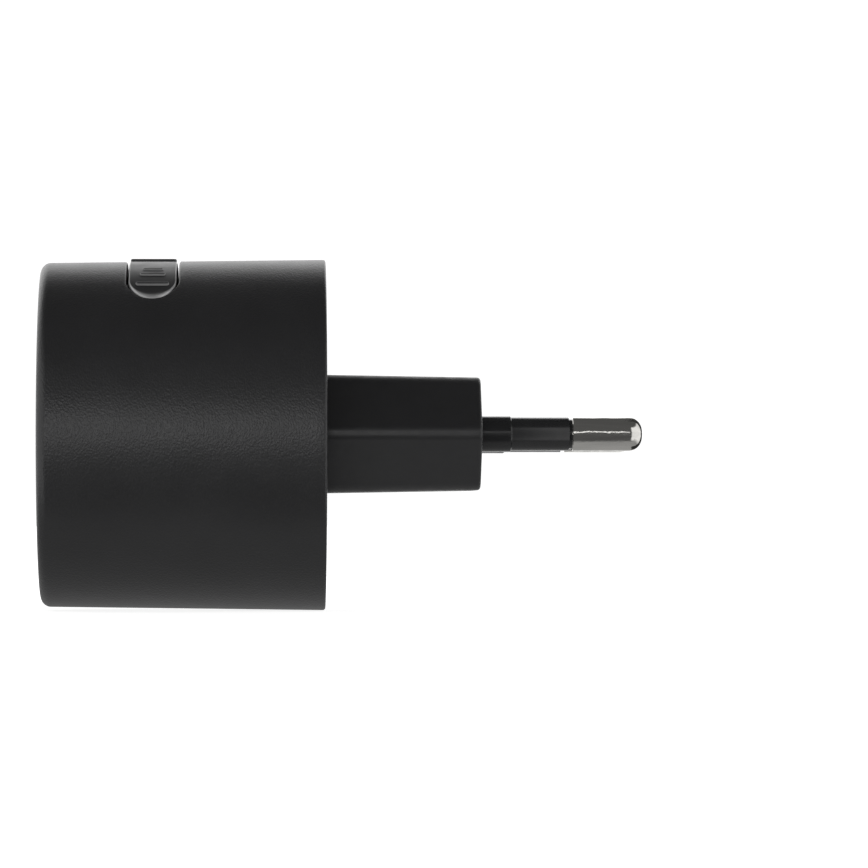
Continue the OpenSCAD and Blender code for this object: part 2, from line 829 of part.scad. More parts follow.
housing();
front_grille();
grille_cloth();
light_guide();
rear_cover();
cover_screws();
pin_left();
pin_right();
pin_sleeve_left();
pin_sleeve_right();
pin_retainer();
retainer_screw();
rocker_button();
rocker_axle();
rubber_keypad();
button_board();
board_header();
main_board();
board_screws();
transformer_core();
transformer_coil();
mains_capacitor();
bulk_capacitor();
output_capacitor();
varistor();
fuse_resistor();
bridge_rectifier();
sound_chip();
small_resistors();
status_led();
radio_board();
radio_shield();
antenna_coil();
speaker_gasket();
speaker_surround();
speaker_frame();
speaker_yoke();
speaker_magnet();
speaker_pole_plate();
speaker_cone();
voice_coil();
speaker_clamp();
clamp_screws();
live_wire();
neutral_wire();
speaker_lead_plus();
speaker_lead_minus();
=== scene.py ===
"""Plug-in door chime receiver, lying on its side on a pale floor.

Lengths are in millimetres until a mesh is made, and the axes are the CAD model's:
+X along the plug pins, +Z up through the rocker button, +Y away from the camera.
"""

import json
import math

import bmesh
import bpy
from mathutils import Matrix, Vector


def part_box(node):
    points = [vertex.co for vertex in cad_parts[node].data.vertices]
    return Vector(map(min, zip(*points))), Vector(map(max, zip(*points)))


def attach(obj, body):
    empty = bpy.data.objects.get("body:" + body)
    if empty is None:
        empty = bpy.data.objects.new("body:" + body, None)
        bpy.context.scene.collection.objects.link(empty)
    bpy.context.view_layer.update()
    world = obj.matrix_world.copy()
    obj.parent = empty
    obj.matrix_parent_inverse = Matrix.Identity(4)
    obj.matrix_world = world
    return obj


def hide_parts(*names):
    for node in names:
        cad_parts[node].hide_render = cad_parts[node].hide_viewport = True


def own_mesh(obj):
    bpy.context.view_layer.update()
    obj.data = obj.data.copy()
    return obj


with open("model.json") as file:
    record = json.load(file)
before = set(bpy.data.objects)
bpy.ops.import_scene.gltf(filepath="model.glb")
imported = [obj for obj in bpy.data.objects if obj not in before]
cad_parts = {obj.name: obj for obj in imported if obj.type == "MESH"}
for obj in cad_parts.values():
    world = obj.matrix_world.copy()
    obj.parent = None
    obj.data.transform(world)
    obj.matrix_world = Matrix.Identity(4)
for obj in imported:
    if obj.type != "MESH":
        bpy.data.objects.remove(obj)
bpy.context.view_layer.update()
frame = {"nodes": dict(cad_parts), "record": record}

MM = 0.001
NODES = frame["nodes"]
SLOT_OF = {part["node"]: part["material_slot"] for part in frame["record"]["subparts"]}


def corners(node):
    """Lowest and highest corner of a CAD node, in millimetres."""
    low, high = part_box(node)
    return low / MM, high / MM


# ---- sizes -----------------------------------------------------------------

housing_low, housing_high = corners("housing")
rocker_low, rocker_high = corners("rocker_button")
cover_low = corners("rear_cover")[0]
grille_low, grille_high = corners("front_grille")
cloth_low, cloth_high = corners("grille_cloth")
guide_low, guide_high = corners("light_guide")
axle_low, axle_high = corners("rocker_axle")
board_low, board_high = corners("button_board")
pin_high = corners("pin_right")[1]

FRONT_X = housing_low.x
REAR_X = housing_high.x
REAR_R = housing_high.y
DRAFT = 0.4
FRONT_R = REAR_R - DRAFT
BODY_LEN = REAR_X - FRONT_X
FRONT_ROUND = 1.2
REAR_ROUND = 0.3
INNER_R = 18.5
REBATE_R = 19.0
PLATE_R = 18.9
PLATE_X = cover_low.x
SEAT_R = 15.1
LEDGE_R = 11.6
LEDGE_X = grille_high.x
LEDGE_BACK_X = LEDGE_X + 1.2
FLANGE_X = LEDGE_BACK_X + 1.2
BOSS_WALL_R = 16.3
WALL_BITE = 0.3
BOARD_X = corners("main_board")[0].x


def shell_r(x):
    """Outside radius of the housing, which is a little wider at the back."""
    return FRONT_R + DRAFT * (x - FRONT_X) / BODY_LEN


ROCKER_X = (rocker_low.x + rocker_high.x) / 2
ROCKER_W = rocker_high.x - rocker_low.x
ROCKER_LEN = rocker_high.y - rocker_low.y
ROCKER_R = shell_r(ROCKER_X)
ROCKER_SKIN = 1.61
ROCKER_GAP = 0.24
RIM_W = 0.26
RIM_DROP = 0.3
RIDGE_W = 0.8
POCKET_FLOOR_Z = 12.8
AXLE_Z = (axle_low.z + axle_high.z) / 2
LEG_Y = 9.0

BLOCK_W = 35.3
BLOCK_H = 13.81
BLOCK_FACE_H = 13.18
BLOCK_CORNER_R = 3.0
BLOCK_SIDE_R = 1.0
BLOCK_SIDE_FLAT = 0.3
BLOCK_WALL = 1.6
FACE_WALL = 2.0
PIN_PITCH = 18.6
PIN_LEAN = math.radians(1.66)
LAMP_Z = (guide_low.z + guide_high.z) / 2
POST_ANGLES = (50, 130, 230, 310)
POST_RING_R = 16.4
CLAMP_ANGLES = (90, 210, 330)
CLAMP_RING_R = 16.2
BOARD_POST_ANGLES = (0, 180)
BOARD_POST_RING_R = 15.9
CREASE = math.radians(32)


# ---- mesh helpers ----------------------------------------------------------

def arc(centre, radius, start, end, steps=10):
    """Points of an arc in a plane, angles in degrees."""
    turns = [math.radians(start + (end - start) * i / steps) for i in range(steps + 1)]
    return [(centre[0] + radius * math.cos(t), centre[1] + radius * math.sin(t)) for t in turns]


def straight(start, end, steps):
    """Points between two plane points, without either of them."""
    return [(start[0] + (end[0] - start[0]) * i / steps, start[1] + (end[1] - start[1]) * i / steps)
            for i in range(1, steps)]


def drum(radius, y):
    """Height of a round wall of this radius at a distance y from the middle."""
    return math.sqrt(radius * radius - y * y)


def new_object(name, verts, faces):
    """A mesh from points in millimetres, with its faces turned outwards."""
    mesh = bpy.data.meshes.new(name)
    mesh.from_pydata([Vector(v) * MM for v in verts], [], faces)
    shape = bmesh.new()
    shape.from_mesh(mesh)
    bmesh.ops.recalc_face_normals(shape, faces=shape.faces)
    shape.to_mesh(mesh)
    shape.free()
    obj = bpy.data.objects.new(name, mesh)
    bpy.context.scene.collection.objects.link(obj)
    return obj


def loft(rings, ring_closed=False):
    """Vertices and faces of a skin through closed rings; open ends get a flat cap."""
    count = len(rings[0])
    verts = [point for ring in rings for point in ring]
    faces = []
    last = len(rings) if ring_closed else len(rings) - 1
    for i in range(last):
        low, high = i * count, (i + 1) % len(rings) * count
        for k in range(count):
            n = (k + 1) % count
            faces.append((low + k, low + n, high + n, high + k))
    if not ring_closed:
        faces.append(tuple(range(count)))
        faces.append(tuple(range(len(verts) - count, len(verts))))
    return verts, faces


def revolve(profile, closed=False, segments=64, y=0.0, z=0.0):
    """A solid of revolution about an axis parallel to X, from points (radius, x)."""
    turns = [2 * math.pi * k / segments for k in range(segments)]
    rings = [[(x, y + r * math.cos(t), z + r * math.sin(t)) for t in turns]
             for r, x in profile if r > 0]
    return loft(rings, closed)


def brick(x, y, z):
    """A box from its limits along each axis."""
    outline = [(y[0], z[0]), (y[1], z[0]), (y[1], z[1]), (y[0], z[1])]
    return loft([[(level, a, b) for a, b in outline] for level in x])


def turned(part, degrees):
    """A part turned about the X axis."""
    turn = Matrix.Rotation(math.radians(degrees), 3, "X")
    return [turn @ Vector(v) for v in part[0]], part[1]


def mirrored(part):
    """A part on the other side of the middle plane."""
    return [(x, -y, z) for x, y, z in part[0]], part[1]


def leaned(part, side):
    """A part drawn about the X axis, moved to a pin's place and lean."""
    move = Matrix.Translation((0, side * PIN_PITCH / 2, 0)) @ Matrix.Rotation(
        -side * PIN_LEAN, 4, "Z")
    return [move @ Vector(v) for v in part[0]], part[1]


def merged(parts):
    """Several parts as one list of vertices and faces."""
    verts, faces = [], []
    for part_verts, part_faces in parts:
        faces += [tuple(i + len(verts) for i in face) for face in part_faces]
        verts += part_verts
    return verts, faces


def combine(obj, part, operation="DIFFERENCE"):
    """Cuts a part from an object's mesh, or adds it, with an exact boolean."""
    tool = new_object("tool", *part)
    step = obj.modifiers.new("step", "BOOLEAN")
    step.operation = operation
    step.solver = "EXACT"
    step.object = tool
    graph = bpy.context.evaluated_depsgraph_get()
    mesh = bpy.data.meshes.new_from_object(obj.evaluated_get(graph))
    obj.modifiers.clear()
    old = obj.data
    obj.data = mesh
    bpy.data.meshes.remove(old)
    bpy.data.objects.remove(tool)


def smooth(obj):
    """Smooth shading, with edges sharper than the crease angle kept crisp."""
    obj.data.shade_smooth()
    obj.data.set_sharp_from_angle(angle=CREASE)


def soften_edges(obj, width):
    """A small round on every hard edge."""
    bevel = obj.modifiers.new("edge_round", "BEVEL")
    bevel.width = width * MM
    bevel.segments = 2
    bevel.limit_method = "ANGLE"
    bevel.angle_limit = math.radians(40)
    bevel.use_clamp_overlap = True


def weigh_normals(obj):
    """Keeps the shading of large flat faces level beside small rounds and holes."""
    step = obj.modifiers.new("weigh", "WEIGHTED_NORMAL")
    step.mode = "FACE_AREA"
    step.keep_sharp = True


def settle(obj, body, slot_name, replaced=()):
    """The finish, body and CAD nodes of a piece."""
    smooth(obj)
    obj.data.materials.clear()
    obj.data.materials.append(MATERIALS[slot_name])
    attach(obj, body)
    if replaced:
        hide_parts(*replaced)


# ---- materials -------------------------------------------------------------

def link(tree, source, target):
    tree.links.new(source, target)


def math_node(tree, operation, *values):
    """A math node fed by sockets or numbers."""
    node = tree.nodes.new("ShaderNodeMath")
    node.operation = operation
    for i, value in enumerate(values):
        if isinstance(value, (int, float)):
            node.inputs[i].default_value = value
        else:
            link(tree, value, node.inputs[i])
    return node.outputs["Value"]


def axes_of(tree, vector):
    """A vector's three components."""
    split = tree.nodes.new("ShaderNodeSeparateXYZ")
    link(tree, vector, split.inputs["Vector"])
    return [split.outputs[axis] for axis in "XYZ"]


def scaled(tree, vector, scale):
    """A vector scaled along each axis."""
    mapping = tree.nodes.new("ShaderNodeMapping")
    mapping.inputs["Scale"].default_value = scale
    link(tree, vector, mapping.inputs["Vector"])
    return mapping.outputs["Vector"]


def noise(tree, place, size, detail=2.0, stretch=(1, 1, 1)):
    """A noise pattern whose features are about size millimetres across."""
    pattern = tree.nodes.new("ShaderNodeTexNoise")
    pattern.inputs["Scale"].default_value = 1 / (size * MM)
    pattern.inputs["Detail"].default_value = detail
    link(tree, scaled(tree, place, stretch), pattern.inputs["Vector"])
    return pattern.outputs["Fac"]


def ridges(tree, place, pitch, axis, distortion):
    """Parallel ridges across one axis, a pitch in millimetres apart."""
    wave = tree.nodes.new("ShaderNodeTexWave")
    wave.bands_direction = axis
    wave.inputs["Scale"].default_value = 1 / (pitch * MM) / 3
    wave.inputs["Distortion"].default_value = distortion
    link(tree, place, wave.inputs["Vector"])
    return wave.outputs["Fac"]


def remap(tree, value, low, high, start=0.3, end=0.7, curve="LINEAR"):
    """A pattern's value between start and end, spread from low to high."""
    node = tree.nodes.new("ShaderNodeMapRange")
    node.interpolation_type = curve
    node.inputs["From Min"].default_value = start
    node.inputs["From Max"].default_value = end
    node.inputs["To Min"].default_value = low
    node.inputs["To Max"].default_value = high
    link(tree, value, node.inputs["Value"])
    return node.outputs["Result"]


def ease(tree, value, start, end):
    """0 below start, 1 above end, smooth between."""
    return remap(tree, value, 0, 1, start, end, "SMOOTHSTEP")


def two_tone(tree, value, first, second):
    """A colour between two, chosen by a pattern's value."""
    node = tree.nodes.new("ShaderNodeMix")
    node.data_type = "RGBA"
    node.inputs["A"].default_value = (*first, 1)
    node.inputs["B"].default_value = (*second, 1)
    link(tree, value, node.inputs["Factor"])
    return node.outputs["Result"]


def mix_shaders(tree, factor, first, second):
    """The first shader where the factor is 0, the second where it is 1."""
    mix = tree.nodes.new("ShaderNodeMixShader")
    for source, socket in zip((factor, first, second), mix.inputs):
        link(tree, source, socket)
    return mix.outputs["Shader"]


def bump(tree, shader, height, depth):
    """Relief of a given depth in millimetres, on top of any that is there."""
    node = tree.nodes.new("ShaderNodeBump")
    node.inputs["Strength"].default_value = 1.0
    node.inputs["Distance"].default_value = depth * MM
    link(tree, height, node.inputs["Height"])
    normal = shader.inputs["Normal"]
    if normal.is_linked:
        link(tree, normal.links[0].from_socket, node.inputs["Normal"])
    link(tree, node.outputs["Normal"], normal)


def surface(name, colour, roughness, metallic=0.0, specular=0.5, shade=0.12, mottle=3.0,
            grain=0.3, grain_depth=0.0, spread=0.05, stretch=(1, 1, 1)):
    """A principled material with uneven colour, uneven gloss and a fine grain."""
    mat = bpy.data.materials.new(name)
    mat.use_nodes = True
    tree = mat.node_tree
    shader = tree.nodes["Principled BSDF"]
    shader.inputs["Metallic"].default_value = metallic
    shader.inputs["Specular IOR Level"].default_value = specular
    place = tree.nodes.new("ShaderNodeTexCoord").outputs["Object"]
    patches = noise(tree, place, mottle, 3.0, stretch)
    darker = [c * (1 - shade) for c in colour]
    lighter = [min(c * (1 + shade), 1) for c in colour]
    tone = two_tone(tree, remap(tree, patches, 0, 1), darker, lighter)
    link(tree, tone, shader.inputs["Base Color"])
    gloss = noise(tree, place, mottle * 0.4, 4.0, stretch)
    link(tree, remap(tree, gloss, roughness - spread, roughness + spread),
         shader.inputs["Roughness"])
    if grain_depth:
        bump(tree, shader, noise(tree, place, grain, 2.0, stretch), grain_depth)
    return mat, tree, shader, place


def spark_texture(name, colour, roughness, size, depth, stretch):
    """Black moulding with the pitted finish of a spark-eroded mould."""
    mat, tree, shader, place = surface(name, colour, roughness, shade=0.1, mottle=7.0,
                                       spread=0.012)
    pits = tree.nodes.new("ShaderNodeTexVoronoi")
    pits.feature = "SMOOTH_F1"
    pits.inputs["Scale"].default_value = 1 / (size * MM)
    pits.inputs["Smoothness"].default_value = 0.6
    link(tree, scaled(tree, place, stretch), pits.inputs["Vector"])
    bump(tree, shader, pits.outputs["Distance"], depth)
    bump(tree, shader, noise(tree, place, size * 1.6, 3.0, stretch), depth)
    return mat


def woven(name, colour, pitch, depth):
    """Plain weave: two sets of threads that cross over and under."""
    mat, tree, shader, place = surface(name, colour, 0.85, specular=0.2, shade=0.25, mottle=1.5)
    threads = [ridges(tree, place, pitch, axis, 0.4) for axis in "YZ"]
    bump(tree, shader, math_node(tree, "MAXIMUM", *threads), depth)
    return mat


def brushed(name, colour, roughness, stretch=(0.08, 1, 1)):
    """Metal with fine drawn lines and slight dents from handling."""
    mat, tree, shader, place = surface(name, colour, roughness, metallic=1.0, mottle=0.8,
                                       spread=0.04, stretch=stretch)
    dent = (0.5, 1, 1)
    for size, detail, shape, depth in ((0.12, 2.0, stretch, 0.0012), (1.1, 3.0, dent, 0.05),
                                       (0.35, 2.0, dent, 0.008)):
        bump(tree, shader, noise(tree, place, size, detail, shape), depth)
    return mat


def circuit_board(name):
    """Solder mask over copper tracks, which show as slightly raised lighter lines."""
    mat, tree, shader, place = surface(name, (0.02, 0.12, 0.05), 0.3, mottle=6.0)
    x, y, z = axes_of(tree, place)
    plane = tree.nodes.new("ShaderNodeCombineXYZ")
    link(tree, y, plane.inputs["X"])
    link(tree, math_node(tree, "ADD", z, x), plane.inputs["Y"])
    tracks = tree.nodes.new("ShaderNodeTexBrick")
    tracks.offset = 0.4
    for setting, value in (("Scale", 1 / MM), ("Brick Width", 4.2), ("Row Height", 0.8),
                           ("Mortar Size", 0.11), ("Mortar Smooth", 0.2)):
        tracks.inputs[setting].default_value = value
    link(tree, plane.outputs["Vector"], tracks.inputs["Vector"])
    kept = remap(tree, noise(tree, place, 4.0, 1.0), 0, 1, 0.46, 0.5)
    copper = math_node(tree, "MULTIPLY", kept, tracks.outputs["Fac"])
    tone = two_tone(tree, copper, (0.015, 0.095, 0.04), (0.035, 0.2, 0.085))
    link(tree, tone, shader.inputs["Base Color"])
    bump(tree, shader, copper, 0.02)
    return mat


def wound(name, colour, roughness, pitch, axis, metallic=0.0):
    """Turns of wire or layers of tape, as fine ridges along one axis."""
    mat, tree, shader, place = surface(name, colour, roughness, metallic=metallic, mottle=1.2)
    bump(tree, shader, ridges(tree, place, pitch, axis, 0.3), 0.03)
    return mat


def edged_button(name, colour, roughness, edge_colour, face_r, edge_h, ridge_w):
    """Black moulding, silvered on its steep edge and less on its marks, not on its ridge."""
    mat, tree, shader, place = surface(name, colour, roughness, shade=0.1, mottle=5.0,
                                       spread=0.04, grain=0.25, grain_depth=0.012)
    facing_up = axes_of(tree, tree.nodes["Texture Coordinate"].outputs["Normal"])[2]
    steep = remap(tree, facing_up, 0, 1, 0.8, 0.7)
    reach = tree.nodes.new("ShaderNodeVectorMath")
    reach.operation = "LENGTH"
    link(tree, scaled(tree, place, (0, 1, 1)), reach.inputs[0])
    radius = reach.outputs["Value"]
    band = math_node(
        tree, "MULTIPLY",
        remap(tree, radius, 0, 1, (face_r - edge_h - 0.1) * MM, (face_r - edge_h) * MM),
        remap(tree, radius, 1, 0.5, (face_r - 0.05) * MM, (face_r - 0.015) * MM))
    patchy = remap(tree, noise(tree, place, 3.0, 2.0), 0.6, 1)
    across = math_node(tree, "ABSOLUTE", axes_of(tree, place)[1])
    aside = remap(tree, across, 0, 1, ridge_w * MM, (ridge_w + 0.1) * MM)
    silver = math_node(tree, "MULTIPLY", math_node(tree, "MULTIPLY", aside, patchy),
                       math_node(tree, "MULTIPLY", steep, band))
    link(tree, two_tone(tree, silver, colour, edge_colour), shader.inputs["Base Color"])
    link(tree, silver, shader.inputs["Metallic"])
    return mat


def clear_plastic(name):
    """Clear acrylic, slightly frosted."""
    mat, _, shader, _ = surface(name, (0.8, 0.84, 0.87), 0.18, shade=0.03, spread=0.03,
                                grain=0.4, grain_depth=0.002)
    shader.inputs["Transmission Weight"].default_value = 0.75
    shader.inputs["IOR"].default_value = 1.49
    return mat


def plain(name, colour, roughness, **looks):
    """A material with nothing beyond what every surface has."""
    return surface(name, colour, roughness, **looks)[0]


BLACK = (0.018, 0.018, 0.019)
PLUG_BLACK = (0.015, 0.015, 0.016)
EDGE_SILVER = (0.52, 0.52, 0.52)
EVEN = (1, 1, 1)
PLAIN_LOOKS = {
    "plug_plastic": (PLUG_BLACK, 0.42, {"shade": 0.08, "grain": 0.5, "grain_depth": 0.003}),
    "sleeve_plastic": (PLUG_BLACK, 0.21, {"shade": 0.08, "grain": 0.8, "grain_depth": 0.002}),
    "silicone": ((0.24, 0.25, 0.26), 0.55, {"grain": 0.2, "grain_depth": 0.006}),
    "header_strip": ((0.03, 0.03, 0.034), 0.45, {"grain_depth": 0.004}),
    "retainer_nylon": ((0.62, 0.59, 0.48), 0.5, {"grain_depth": 0.006}),
    "ferrite": ((0.045, 0.045, 0.05), 0.6,
                {"shade": 0.3, "mottle": 0.5, "grain": 0.15, "grain_depth": 0.02}),
    "film_capacitor": ((0.52, 0.33, 0.03), 0.4, {"grain_depth": 0.006}),
    "capacitor_sleeve": ((0.015, 0.02, 0.035), 0.3, {"grain": 1.0, "grain_depth": 0.01}),
    "varistor_coat": ((0.03, 0.12, 0.32), 0.25,
                      {"mottle": 1.5, "grain": 0.9, "grain_depth": 0.03}),
    "resistor_coat": ((0.09, 0.22, 0.25), 0.5,
                      {"mottle": 0.8, "grain": 0.3, "grain_depth": 0.02}),
    "chip_epoxy": ((0.02, 0.02, 0.022), 0.55,
                   {"mottle": 0.7, "grain": 0.12, "grain_depth": 0.006}),
    "lamp_epoxy": ((0.74, 0.72, 0.62), 0.25, {"grain_depth": 0.003}),
    "foam": ((0.03, 0.03, 0.032), 0.9,
             {"shade": 0.4, "mottle": 0.4, "grain": 0.25, "grain_depth": 0.06}),
    "surround_rubber": ((0.025, 0.025, 0.026), 0.6, {"grain_depth": 0.006}),
    "basket_steel": ((0.3, 0.3, 0.31), 0.4, {"grain": 0.5, "grain_depth": 0.006}),
    "paper_cone": ((0.05, 0.043, 0.036), 0.85,
                   {"shade": 0.3, "mottle": 0.8, "grain": 0.3, "grain_depth": 0.03,
                    "stretch": (1, 1, 0.3)}),
    "clamp_plastic": ((0.03, 0.03, 0.034), 0.45, {"grain_depth": 0.005}),
    "wire_brown": ((0.17, 0.06, 0.025), 0.35, {"grain_depth": 0.004}),
    "wire_blue": ((0.03, 0.09, 0.3), 0.35, {"grain_depth": 0.004}),
    "wire_red": ((0.36, 0.02, 0.02), 0.35, {"grain_depth": 0.004}),
    "wire_black": ((0.018, 0.018, 0.02), 0.35, {"grain_depth": 0.004}),
}
OTHER_LOOKS = {
    "case_abs": (spark_texture, BLACK, 0.36, 0.19, 0.026, (1, 0.75, 0.75)),
    "button_abs": (edged_button, BLACK, 0.4, EDGE_SILVER, ROCKER_R, 0.6, RIDGE_W),
    "nickel": (brushed, (0.66, 0.65, 0.62), 0.11),
    "screw_steel": (brushed, (0.5, 0.5, 0.51), 0.3, EVEN),
    "tinned_steel": (brushed, (0.56, 0.56, 0.56), 0.33, (1, 1, 0.15)),
    "magnet": (brushed, (0.42, 0.42, 0.44), 0.25, EVEN),
    "acoustic_cloth": (woven, (0.01, 0.01, 0.011), 0.3, 0.05),
    "clear_acrylic": (clear_plastic,),
    "board_laminate": (circuit_board,),
    "winding_tape": (wound, (0.6, 0.4, 0.04), 0.35, 1.1, "X"),
    "chip_ceramic": (wound, (0.36, 0.25, 0.12), 0.45, 1.6, "Y"),
    "copper_wire": (wound, (0.62, 0.26, 0.11), 0.25, 0.4, "X", 1.0),
}
MATERIALS = {name: plain(name, colour, roughness, **looks)
             for name, (colour, roughness, looks) in PLAIN_LOOKS.items()}
MATERIALS.update({name: maker(name, *looks) for name, (maker, *looks) in OTHER_LOOKS.items()})


# ---- housing ---------------------------------------------------------------

def button_outline(grow, per_side=48, per_end=32):
    """The rocker's long round-ended outline from above, grown by an amount."""
    radius = ROCKER_W / 2 + grow
    reach = (ROCKER_LEN - ROCKER_W) / 2
    side = [(radius, -reach + 2 * reach * i / per_side) for i in range(per_side)]
    half = side + arc((0, reach), radius, 0, 180, per_end)[:-1]
    return half + [(-x, -y) for x, y in half]


def pocket_cutter():
    """The pocket for the rocker, with its rim rounded over where it meets the outside."""
    steps = [(ROCKER_GAP + RIM_W * (1 - math.cos(a)), RIM_DROP * (1 - math.sin(a)))
             for a in (math.radians(d) for d in range(0, 91, 15))]
    mouth = ROCKER_GAP + RIM_W + 0.02
    clear_of_wall = -0.03
    rings = [[(ROCKER_X + x, y, POCKET_FLOOR_Z) for x, y in button_outline(ROCKER_GAP)]]
    for grow, drop in steps + [(mouth, clear_of_wall)]:
        rings.append([(ROCKER_X + x, y, drum(shell_r(ROCKER_X + x), y) - drop)
                      for x, y in button_outline(grow)])
    rings.append([(ROCKER_X + x, y, REAR_R + 2) for x, y in button_outline(mouth)])
    return loft(rings)


def make_housing():
    """The cup: outer wall, dished front with the grille's seat, and the rear rebate."""
    rear_edge = arc((REAR_R - REAR_ROUND, REAR_X - REAR_ROUND), REAR_ROUND, 90, 0, 6)
    front_edge = arc((FRONT_R - FRONT_ROUND, FRONT_X + FRONT_ROUND), FRONT_ROUND, 0, -90, 14)
    dish_x = FRONT_X + 0.7
    lip_r, lip_inner_r = 18.97, 18.83
    dish_r, dish_inner_r = 15.35, 15.2
    lamp_hole_r = 1.25
    profile = (
        rear_edge + straight(rear_edge[-1], front_edge[0], 30) + front_edge
        + [(lip_r, FRONT_X), (lip_inner_r, FRONT_X + 0.02), (dish_r, dish_x - 0.03),
           (dish_inner_r, dish_x + 0.03), (SEAT_R, dish_x + 0.13), (SEAT_R, LEDGE_X),
           (LEDGE_R, LEDGE_X), (LEDGE_R, LEDGE_BACK_X), (BOSS_WALL_R, LEDGE_BACK_X),
           (BOSS_WALL_R, LEDGE_X), (INNER_R, LEDGE_X)]
        + straight((INNER_R, LEDGE_X), (INNER_R, PLATE_X), 24)
        + [(INNER_R, PLATE_X), (REBATE_R, PLATE_X), (REBATE_R, REAR_X)])
    obj = new_object("housing_shell", *revolve(profile, closed=True, segments=288))
    combine(obj, pocket_cutter())
    lamp_hole = [(lamp_hole_r, FRONT_X - 1), (lamp_hole_r, LEDGE_BACK_X + 1)]
    combine(obj, revolve(lamp_hole, z=LAMP_Z, segments=32))
    settle(obj, "case", "case_abs", ["housing"])


def wall_post(angle, ring_r, radius, ends, bore, depth):
    """A bored screw post joined to the wall by a rib."""
    back = ends[1]
    post = revolve([(radius, ends[0]), (radius, back), (bore, back), (bore, back - depth)],
                   y=ring_r, segments=32)
    rib = brick(ends, (ring_r + bore + 0.2, INNER_R + WALL_BITE), (-radius * 0.5, radius * 0.5))
    return turned(merged([post, rib]), angle)


def make_housing_posts():
    """Screw posts, axle ears and the slots of the button board, inside the housing."""
    cover_posts = (POST_ANGLES, POST_RING_R, 2.2, (PLATE_X - 13.8, PLATE_X), 0.95, 10)
    clamp_posts = (CLAMP_ANGLES, CLAMP_RING_R, 1.8, (LEDGE_X - 0.2, FLANGE_X), 0.7, 2.3)
    board_posts = (BOARD_POST_ANGLES, BOARD_POST_RING_R, 2.0, (BOARD_X - 5.2, BOARD_X), 0.67, 4.4)
    parts = [wall_post(angle, *shape) for angles, *shape in (cover_posts, clamp_posts, board_posts)
             for angle in angles]
    ear_r, ear_bore = 1.4, 0.62
    ear_inner, ear_outer = 3.3, 4.5
    for side in (-1, 1):
        ear = sorted((ROCKER_X + side * ear_inner, ROCKER_X + side * ear_outer))
        parts.append(revolve([(ear_r, ear[0]), (ear_r, ear[1]), (ear_bore, ear[1]),
                              (ear_bore, ear[0])], closed=True, z=AXLE_Z, segments=32))
        parts.append(brick(ear, (-ear_r, ear_r), (AXLE_Z + 0.63, INNER_R + WALL_BITE)))
    run = (ROCKER_X - 3, ROCKER_X + 3)
    under, over = board_low.z - 1.3, board_high.z + 1
    shelf = ((11, 14.9), (under, board_low.z - 0.02))
    catch = ((11.3, 14.6), (board_high.z + 0.05, over))
    stop = ((12.1, 15.2), (under, over))
    for limits in (shelf, catch, stop):
        wall = brick(run, *limits)
        parts += [wall, mirrored(wall)]
    obj = new_object("housing_posts", *merged(parts))
    soften_edges(obj, 0.12)
    settle(obj, "case", "case_abs")


# ---- front -----------------------------------------------------------------

def make_grille():
    """Perforated disc; every hole has a slightly rounded mouth."""
    radius = grille_high.y
    face = grille_low.x
    edge = 0.3
    hole_r = 0.625
    hole_pitch = 2.3
    profile = ([(radius - edge, face)] + arc((radius - edge, face + edge), edge, -90, 0, 5)[1:]
               + [(radius, LEDGE_X), (radius - 0.01, LEDGE_X)])
    obj = new_object("grille_disc", *revolve(profile, segments=160))
    hole = [(hole_r + 0.16, face - 0.5), (hole_r + 0.16, face - 0.01), (hole_r + 0.07, face + 0.03),
            (hole_r + 0.02, face + 0.09), (hole_r, face + 0.17), (hole_r, LEDGE_X + 0.5)]
    places = [(0.0, 0.0)]
    for ring in range(1, 5):
        for k in range(6 * ring):
            angle = math.radians(60 * k / ring)
            places.append((hole_pitch * ring * math.cos(angle),
                           hole_pitch * ring * math.sin(angle)))
    combine(obj, merged([revolve(hole, segments=28, y=y, z=z) for y, z in places]))
    settle(obj, "case", "case_abs", ["front_grille"])
    weigh_normals(obj)


def make_cloth():
    """Black cloth stretched across the back of the grille."""
    radius = cloth_high.y
    thickness = 0.16
    face = cloth_low.x + 0.02
    rings = [radius * k / 12 for k in range(1, 13)]
    front = [(r, face) for r in rings]
    back = [(r, face + thickness) for r in reversed(rings)]
    obj = new_object("grille_cloth_sheet", *revolve(front + back, segments=96))
    settle(obj, "case", "acoustic_cloth", ["grille_cloth"])


def make_light_guide():
    """Clear rod from the lamp to the front, with a collar behind the ledge."""
    radius, tip_round, end_chamfer = 1.2, 0.25, 0.15
    front = guide_low.x
    collar = LEDGE_BACK_X
    profile = (arc((radius - tip_round, front + tip_round), tip_round, -90, 0, 5)
               + [(radius, collar), (radius + 0.5, collar), (radius + 0.6, collar + 0.1),
                  (radius + 0.6, collar + 0.6), (radius + 0.5, collar + 0.7),
                  (radius, collar + 0.7), (radius, guide_high.x - end_chamfer),
                  (radius - end_chamfer, guide_high.x)])
    obj = new_object("light_guide_rod", *revolve(profile, z=LAMP_Z, segments=48))
    settle(obj, "case", "clear_acrylic", ["light_guide"])


# ---- rear cover and plug ---------------------------------------------------

